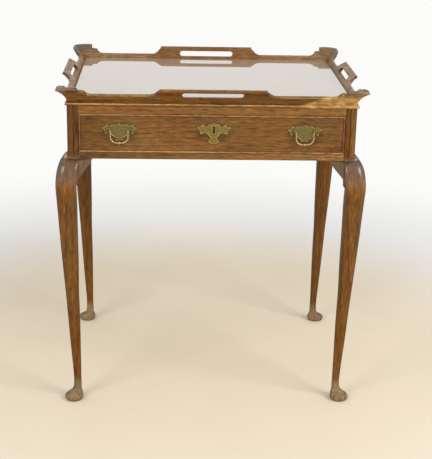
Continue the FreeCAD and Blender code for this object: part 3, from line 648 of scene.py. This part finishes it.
def brass_polish_and_shadow(tree, axes):
    """Old polish and a painted shadow darken the oak round each plate and behind each bail."""
    nearest = 10.0
    for nodes in brasses:
        boxes = [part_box(node) for node in nodes]
        left, right = min(low.x for low, high in boxes), max(high.x for low, high in boxes)
        bottom, top = min(low.z for low, high in boxes), max(high.z for low, high in boxes)
        across = maths(tree, "SUBTRACT", axes["X"], (left + right) / 2)
        across = maths(tree, "DIVIDE", across, (right - left) / 2)
        up = maths(tree, "SUBTRACT", axes["Z"], (bottom + top) / 2)
        up = maths(tree, "DIVIDE", up, (top - bottom) / 2)
        reach = maths(tree, "MULTIPLY_ADD", across, across, maths(tree, "MULTIPLY", up, up))
        nearest = maths(tree, "MINIMUM", nearest, maths(tree, "SQRT", reach))
    return between(tree, nearest, 0.80, 1.25, 0.80, 0.0), (0.078, 0.038, 0.008, 1.0), 0.45


def bead_corner_shade(tree, axes):
    """Painted shade in the corner where the board meets its cock beads."""
    out = maths(tree, "ABSOLUTE", axes["X"])
    sides = maths(tree, "SUBTRACT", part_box("cock_bead_right")[0].x, out)
    above = maths(tree, "SUBTRACT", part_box("cock_bead_top")[0].z, axes["Z"])
    below = maths(tree, "SUBTRACT", axes["Z"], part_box("cock_bead_bottom")[1].z)
    inset = maths(tree, "MINIMUM", sides, maths(tree, "MINIMUM", above, below))
    return between(tree, inset, 0.0004, 0.0026, 0.80, 0.0), (0.050, 0.020, 0.004, 1.0), 0.35


drawer_heart = ((drawer_low.y + 0.03, drawer_low.z - 0.01), 0.008)
oak_drawer_front = oak_material(
    "oak_drawer_front",
    "X",
    drawer_heart,
    pale=(0.290, 0.130, 0.027, 1.0),
    mid=(0.192, 0.079, 0.013, 1.0),
    dark=(0.092, 0.035, 0.006, 1.0),
    bare=(0.230, 0.110, 0.035, 1.0),
    ring_scale=40.0,
    patches=(dark_left_end, dark_right_end, brass_polish_and_shadow, bead_corner_shade, unstained_inside),
)
softened_piece(
    "oak_drawer_front", "drawer_front", oak_drawer_front, drawer_front_edge
)
# The top and bottom beads are painted paler than the upright ones, partly wear and partly a painted
# highlight.
cock_bead_long_worn_and_lit = oak_material(
    "cock_bead_long_worn_and_lit",
    "X",
    drawer_heart,
    pale=(0.520, 0.300, 0.130, 1.0),
    mid=(0.360, 0.180, 0.066, 1.0),
    dark=(0.130, 0.050, 0.012, 1.0),
    bare=(0.520, 0.310, 0.150, 1.0),
)
cock_bead_short = oak_material(
    "cock_bead_short",
    "Z",
    drawer_heart,
    pale=(0.340, 0.165, 0.066, 1.0),
    mid=(0.235, 0.098, 0.034, 1.0),
    dark=(0.100, 0.036, 0.010, 1.0),
    bare=(0.340, 0.180, 0.080, 1.0),
)
for node in ("cock_bead_top", "cock_bead_bottom"):
    softened_piece("oak_" + node, node, cock_bead_long_worn_and_lit, cock_bead_edge)
for node in ("cock_bead_left", "cock_bead_right"):
    softened_piece("oak_" + node, node, cock_bead_short, cock_bead_edge)

# Brass: cast back plates, turned posts, swinging bails and a matching escutcheon. The metal is
# olive with age, darker in the hollows and rubbed bright on rims and where fingers touch it.
rim_width = 0.0011
rim_height_over = 0.0005
rim_steps = 4
ground_depth = 1e-4
post_edge = 0.0002
bail_edge = 0.0001
lock_edge = 0.0003


def old_brass_material(name, dull, bright, shine):
    material, tree, shader = start_material(name)
    coordinates = add(tree, "TexCoord").outputs["Object"]
    cloud = noise(tree, coordinates, 320.0, 4.0, 0.7)
    spots = noise(tree, coordinates, 900.0, 2.0)
    worn = add(tree, "Attribute", attribute_name="worn").outputs["Fac"]
    clean = between(tree, cloud, 0.3, 0.7)
    share = maths(tree, "MULTIPLY_ADD", clean, 0.55, maths(tree, "MULTIPLY", worn, 0.75))
    colour = blend(tree, share, dull, bright)
    join(tree, colour, shader.inputs["Base Color"])
    join(tree, between(tree, cloud, 0.3, 0.7, shine + 0.14, shine), shader.inputs["Roughness"])
    shader.inputs["Metallic"].default_value = 1.0
    bump = add(tree, "Bump", Height=spots, Strength=0.3, Distance=0.0003)
    join(tree, bump.outputs[0], shader.inputs["Normal"])
    return material


plate_tones = ((0.130, 0.094, 0.028, 1.0), (0.370, 0.285, 0.110, 1.0))
escutcheon_tones = ((0.155, 0.105, 0.025, 1.0), (0.450, 0.320, 0.100, 1.0))
post_tones = ((0.110, 0.080, 0.026, 1.0), (0.300, 0.225, 0.085, 1.0))
bail_tones = ((0.400, 0.310, 0.125, 1.0), (0.720, 0.570, 0.290, 1.0))
lock_tones = ((0.260, 0.190, 0.080, 1.0), (0.450, 0.350, 0.160, 1.0))
old_brass = old_brass_material("old_brass", *plate_tones, 0.40)
escutcheon_brass = old_brass_material("escutcheon_brass", *escutcheon_tones, 0.40)
post_brass = old_brass_material("post_brass", *post_tones, 0.44)
rubbed_brass = old_brass_material("rubbed_brass", *bail_tones, 0.36)
lock_brass = old_brass_material("lock_brass", *lock_tones, 0.42)


def outline_loops(faces):
    """The closed outlines of a flat region, as lists of vertices in order."""
    inside = set(faces)
    follower = {}
    for face in faces:
        for loop in face.loops:
            if not any(other in inside for other in loop.edge.link_faces if other is not face):
                follower[loop.vert] = loop.link_loop_next.vert
    loops = []
    while follower:
        start, vertex = follower.popitem()
        chain = [start]
        while vertex is not start:
            chain.append(vertex)
            vertex = follower.pop(vertex)
        loops.append(chain)
    return loops


def raised_rim(shape, chain, worn):
    """Half-round rim just inside one outline of a face that looks along -Y."""
    rows = []
    count = len(chain)
    for index, vertex in enumerate(chain):
        before = (vertex.co - chain[index - 1].co).normalized()
        after = (chain[(index + 1) % count].co - vertex.co).normalized()
        along = (before + after).normalized()
        inward = along.cross(Vector((0.0, -1.0, 0.0)))
        row = []
        for step in range(rim_steps + 1):
            angle = math.pi * step / rim_steps
            across = rim_width / 2 * (1.0 - math.cos(angle))
            height = rim_height_over * math.sin(angle)
            place = vertex.co - inward * across - Vector((0.0, height, 0.0))
            row.append(shape.verts.new(place))
        rows.append(row)
    for index in range(count):
        first = rows[index]
        second = rows[(index + 1) % count]
        for step in range(rim_steps):
            corners = (first[step], second[step], second[step + 1], first[step + 1])
            face = shape.faces.new(corners)
            face[worn] = 1.0


def brass_plate(name, node, material):
    """Cast plate: its ground is sunk a little, and a rim follows each outline."""
    shape = node_shape(node)
    worn = shape.faces.layers.float.new("worn")
    front = min(vertex.co.y for vertex in shape.verts)
    facing = [item for item in shape.faces if item.normal.y < -0.9]
    ground = [item for item in facing if item.calc_center_median().y < front + ground_depth]
    outlines = outline_loops(ground)
    sunk = {vertex for item in ground for vertex in item.verts}
    bmesh.ops.translate(shape, verts=list(sunk), vec=Vector((0.0, rim_height_over, 0.0)))
    for chain in outlines:
        raised_rim(shape, chain, worn)
    finish_piece(shape, name, node, material)


for side in ("left", "right"):
    brass_plate(f"brass_plate_{side}", f"pull_plate_{side}", old_brass)
    posts, nuts, bail = f"pull_posts_{side}", f"pull_nuts_{side}", f"bail_{side}"
    softened_piece(f"brass_posts_{side}", posts, post_brass, post_edge)
    softened_piece(f"brass_nuts_{side}", nuts, old_brass, post_edge)
    softened_piece(f"brass_bail_{side}", bail, rubbed_brass, bail_edge)
brass_plate("brass_escutcheon", "escutcheon", escutcheon_brass)
softened_piece("brass_escutcheon_pins", "escutcheon_pins", post_brass, bail_edge)
softened_piece("brass_lock_case", "lock_case", lock_brass, lock_edge)
softened_piece("brass_lock_bolt", "lock_bolt", lock_brass, lock_edge)

# Tray: coved oak gallery boards, mitred at the corners and pierced with a hand-hold in each
# side, with a small bead planted along the foot. The finish is rubbed pale on the top edges,
# and the front right corner was once stripped to the bare yellow wood.
tray_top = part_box("tray_bottom")[1].z
horn_inset = 0.030
block_half_length = 0.115
gallery_edge = 0.0009
foot_bead_edge = 0.0003
tray_board_edge = 0.0004


def stripped_corner(tree, axes):
    """The stripped patch is a wedge: it starts along the foot and widens towards the corner."""
    along = between(tree, axes["X"], case_half_width - 0.135, case_half_width - 0.030)
    rise = between(tree, axes["Z"], tray_top - 0.010, tray_top + 0.024, 0.0, 0.85)
    wedge = between(tree, maths(tree, "SUBTRACT", along, rise), -0.05, 0.25)
    face = -case_half_depth
    front = between(tree, axes["Y"], face + 0.010, face + 0.045, 1.0, 0.0)
    return maths(tree, "MULTIPLY", wedge, front), (0.620, 0.365, 0.112, 1.0), 0.50


def normal_along(tree, axis):
    normal = add(tree, "TexCoord").outputs["Normal"]
    return add(tree, "SeparateXYZ", Vector=normal).outputs[axis]


def facing_up(tree, low, high, most):
    return between(tree, normal_along(tree, "Z"), low, high, 0.0, most)


def faded_insides(tree, axes):
    """The coves' inner faces and rims look up, so light and dust have faded them."""
    return facing_up(tree, 0.10, 0.60, 0.85), (0.310, 0.215, 0.122, 1.0), 0.7


def faded_beside_block(tree, axes):
    """The long boards have faded too, but polish has kept their hand-holds golden."""
    out = maths(tree, "ABSOLUTE", axes["X"])
    golden = between(tree, out, block_half_length, block_half_length + 0.03, 0.30, 1.0)
    faded = maths(tree, "MULTIPLY", facing_up(tree, 0.10, 0.60, 0.80), golden)
    return faded, (0.285, 0.185, 0.090, 1.0), 0.6


def dusty_horns(tree, axes):
    """The horns at the corners are grey-brown with dust that nobody wipes off."""
    across = maths(tree, "ABSOLUTE", axes["X"])
    across = maths(tree, "SUBTRACT", across, case_half_width - horn_inset)
    along = maths(tree, "ABSOLUTE", axes["Y"])
    along = maths(tree, "SUBTRACT", along, case_half_depth - horn_inset)
    corner = between(tree, maths(tree, "MINIMUM", across, along), -0.010, 0.006)
    high = between(tree, axes["Z"], tray_top + 0.010, tray_top + 0.026, 0.0, 0.85)
    return maths(tree, "MULTIPLY", corner, high), (0.105, 0.077, 0.050, 1.0), 0.5


def end_grain_stain_and_shade(along):
    """Faces cut across a board that runs along the named axis are darker: partly the stain that end
    grain takes up, partly painted shade where they turn from the light.
    """

    def patch(tree, axes):
        turned = maths(tree, "ABSOLUTE", normal_along(tree, along))
        mask = between(tree, turned, 0.55, 0.80, 0.0, 0.9)
        return mask, (0.070, 0.042, 0.021, 1.0), 0.3

    return patch


gallery_tones = dict(
    pale=(0.288, 0.124, 0.022, 1.0),
    mid=(0.194, 0.075, 0.010, 1.0),
    dark=(0.092, 0.032, 0.004, 1.0),
    bare=(0.330, 0.195, 0.085, 1.0),
)
gallery_heart = ((-case_half_depth - 0.02, tray_top - 0.02), 0.012)
oak_gallery_long = oak_material(
    "oak_gallery_long",
    "X",
    gallery_heart,
    ring_scale=40.0,
    patches=(faded_beside_block, stripped_corner, dusty_horns, end_grain_stain_and_shade("X")),
    **gallery_tones,
)
gallery_side_heart = ((-case_half_width - 0.02, tray_top - 0.02), 0.012)
oak_gallery_short = oak_material(
    "oak_gallery_short",
    "Y",
    gallery_side_heart,
    ring_scale=40.0,
    patches=(faded_insides, dusty_horns, end_grain_stain_and_shade("Y")),
    **gallery_tones,
)


def rubbed_nose_highlight(tree, axes):
    """The foot bead is pale in a thin line along its nose, partly rubbed and partly a painted
    highlight.
    """
    rise = facing_up(tree, -0.05, 0.25, 1.0)
    fall = facing_up(tree, 0.65, 0.90, 1.0)
    return maths(tree, "SUBTRACT", rise, fall), (0.470, 0.270, 0.115, 1.0), 0.45


foot_bead_long = oak_material(
    "foot_bead_long", "X", gallery_heart, patches=(rubbed_nose_highlight, stripped_corner), **gallery_tones
)
foot_bead_short = oak_material(
    "foot_bead_short", "Y", gallery_side_heart, patches=(rubbed_nose_highlight,), **gallery_tones
)
for side, board_oak, bead_oak in (
    ("front", oak_gallery_long, foot_bead_long),
    ("back", oak_gallery_long, foot_bead_long),
    ("left", oak_gallery_short, foot_bead_short),
    ("right", oak_gallery_short, foot_bead_short),
):
    board, bead = f"gallery_{side}", f"tray_bead_{side}"
    softened_piece("oak_gallery_" + side, board, board_oak, gallery_edge)
    softened_piece("oak_foot_bead_" + side, bead, bead_oak, foot_bead_edge)
oak_tray_board = oak_material(
    "oak_tray_board",
    "X",
    ((0.0, tray_top - 0.06), 0.006),
    pale=(0.350, 0.172, 0.056, 1.0),
    mid=(0.270, 0.124, 0.036, 1.0),
    dark=(0.165, 0.070, 0.018, 1.0),
    ring_scale=20.0,
    length=2.4,
)
softened_piece("oak_tray_board", "tray_bottom", oak_tray_board, tray_board_edge)

# Glass: a loose plate that covers the tray's varnished bottom. It is plain float glass with a
# ground edge, and it carries a film of dust and fine scratches, which shows when seen aslant.
# Light for the board below passes straight through it.
glass_edge = 0.0006
glass_material, glass_tree, glass_shader = start_material("plate_glass")
glass_shader.inputs["Base Color"].default_value = (0.96, 0.95, 0.90, 1.0)
glass_shader.inputs["IOR"].default_value = 1.52
glass_shader.inputs["Specular IOR Level"].default_value = 0.25
glass_shader.inputs["Transmission Weight"].default_value = 0.96
glass_slant = add(glass_tree, "LayerWeight", Blend=0.5).outputs["Facing"]
glass_gloss = between(glass_tree, glass_slant, 0.30, 0.66, 0.03, 1.0)
join(glass_tree, glass_gloss, glass_shader.inputs["Coat Weight"])
glass_shader.inputs["Coat IOR"].default_value = 4.0
glass_shader.inputs["Coat Roughness"].default_value = 0.015
glass_shader.inputs["Sheen Weight"].default_value = 0.29
glass_shader.inputs["Sheen Roughness"].default_value = 0.40
glass_shader.inputs["Sheen Tint"].default_value = (1.0, 0.92, 0.72, 1.0)
glass_place = add(glass_tree, "TexCoord").outputs["Object"]
film = between(glass_tree, noise(glass_tree, glass_place, 14.0, 4.0, 0.6), 0.35, 0.7, 0.015, 0.035)
join(glass_tree, film, glass_shader.inputs["Roughness"])
let_through = add(glass_tree, "BsdfTransparent", Color=(0.94, 0.94, 0.92, 1.0))
glass_rays = add(glass_tree, "LightPath").outputs
shadow_rays, diffuse_rays = glass_rays["Is Shadow Ray"], glass_rays["Is Diffuse Ray"]
light_rays = maths(glass_tree, "MAXIMUM", shadow_rays, diffuse_rays)
lit_glass = add(glass_tree, "MixShader", Fac=light_rays)
join(glass_tree, glass_shader.outputs[0], lit_glass.inputs[1])
join(glass_tree, let_through.outputs[0], lit_glass.inputs[2])
glass_surface = next(node for node in glass_tree.nodes if node.type == "OUTPUT_MATERIAL")
join(glass_tree, lit_glass.outputs[0], glass_surface.inputs["Surface"])
softened_piece("glass_plate_top", "glass_plate", glass_material, glass_edge)

# Studio: a pale floor that fades to white, an even white surround and two large soft lamps, one
# at each side of the camera.
floor_half = 6.0
floor = bmesh.new()
bmesh.ops.create_grid(floor, x_segments=1, y_segments=1, size=floor_half)
floor_mesh = bpy.data.meshes.new("floor")
floor.to_mesh(floor_mesh)
floor.free()
floor_object = bpy.data.objects.new("floor", floor_mesh)
bpy.context.scene.collection.objects.link(floor_object)
floor_material, floor_tree, floor_shader = start_material("studio_floor")
floor_place = add(floor_tree, "TexCoord").outputs["Object"]
distance = add(floor_tree, "VectorMath", operation="LENGTH")
join(floor_tree, floor_place, distance.inputs[0])
fade = between(floor_tree, distance.outputs["Value"], 0.55, 1.15)
mottle = noise(floor_tree, floor_place, 5.0, 4.0, 0.6)
stone = blend(floor_tree, mottle, (0.870, 0.760, 0.580, 1.0), (0.800, 0.700, 0.530, 1.0))
floor_colour = blend(floor_tree, fade, stone, (0.93, 0.93, 0.92, 1.0))
join(floor_tree, floor_colour, floor_shader.inputs["Base Color"])
edge_fade = between(floor_tree, distance.outputs["Value"], 0.85, 1.7, 1.0, 0.0)
join(floor_tree, edge_fade, floor_shader.inputs["Alpha"])
floor_shader.inputs["Roughness"].default_value = 0.85
floor_mesh.materials.append(floor_material)

surround_light = 0.62
seen_light = 0.97
world = bpy.data.worlds.new("surround")
world.use_nodes = True
bpy.context.scene.world = world
world_tree = world.node_tree
world_tree.nodes.clear()
rays = add(world_tree, "LightPath").outputs
seen = maths(world_tree, "MAXIMUM", rays["Is Camera Ray"], rays["Is Glossy Ray"])
seen = maths(world_tree, "MAXIMUM", seen, rays["Is Transmission Ray"])
strength = maths(world_tree, "MULTIPLY_ADD", seen, seen_light - surround_light, surround_light)
background = add(world_tree, "Background", Color=(1.0, 0.995, 0.985, 1.0), Strength=strength)
world_output = world_tree.nodes.new("ShaderNodeOutputWorld")
world_tree.links.new(background.outputs[0], world_output.inputs[0])


def soft_lamp(name, place, target, size, power):
    data = bpy.data.lights.new(name, "AREA")
    data.shape = "SQUARE"
    data.size = size
    data.energy = power
    lamp = bpy.data.objects.new(name, data)
    lamp.location = place
    lamp.rotation_mode = "QUATERNION"
    lamp.rotation_quaternion = (Vector(target) - Vector(place)).to_track_quat("-Z", "Y")
    bpy.context.scene.collection.objects.link(lamp)


table_middle = (0.0, 0.0, 0.5)
soft_lamp("lamp_left", (-1.9, -2.3, 2.1), table_middle, 1.3, 36.0)
soft_lamp("lamp_right", (2.1, -1.7, 2.0), table_middle, 1.4, 50.0)

# Camera: where the photograph was taken from, a little above the table and to its left, with a
# normal lens.
picture_long_side = 459
focal_length_pixels = 1173.1
sensor = 36.0
camera_place = Vector((-0.0945, -2.5900, 1.2094))
camera_yaw = math.radians(2.58)
camera_pitch = math.radians(18.88)
camera_roll = math.radians(1.23)
forward = Vector(
    (
        math.sin(camera_yaw) * math.cos(camera_pitch),
        math.cos(camera_yaw) * math.cos(camera_pitch),
        -math.sin(camera_pitch),
    )
)
level_right = Vector((math.cos(camera_yaw), -math.sin(camera_yaw), 0.0))
level_up = level_right.cross(forward)
camera_right = level_right * math.cos(camera_roll) + level_up * math.sin(camera_roll)
camera_up = level_up * math.cos(camera_roll) - level_right * math.sin(camera_roll)
camera_data = bpy.data.cameras.new("camera")
camera_data.lens = focal_length_pixels / picture_long_side * sensor
camera_data.sensor_width = sensor
camera = bpy.data.objects.new("camera", camera_data)
turn = Matrix((camera_right, camera_up, -forward)).transposed()
camera.matrix_world = Matrix.Translation(camera_place) @ turn.to_4x4()
bpy.context.scene.collection.objects.link(camera)
bpy.context.scene.camera = camera
bpy.context.scene.view_settings.view_transform = "Standard"
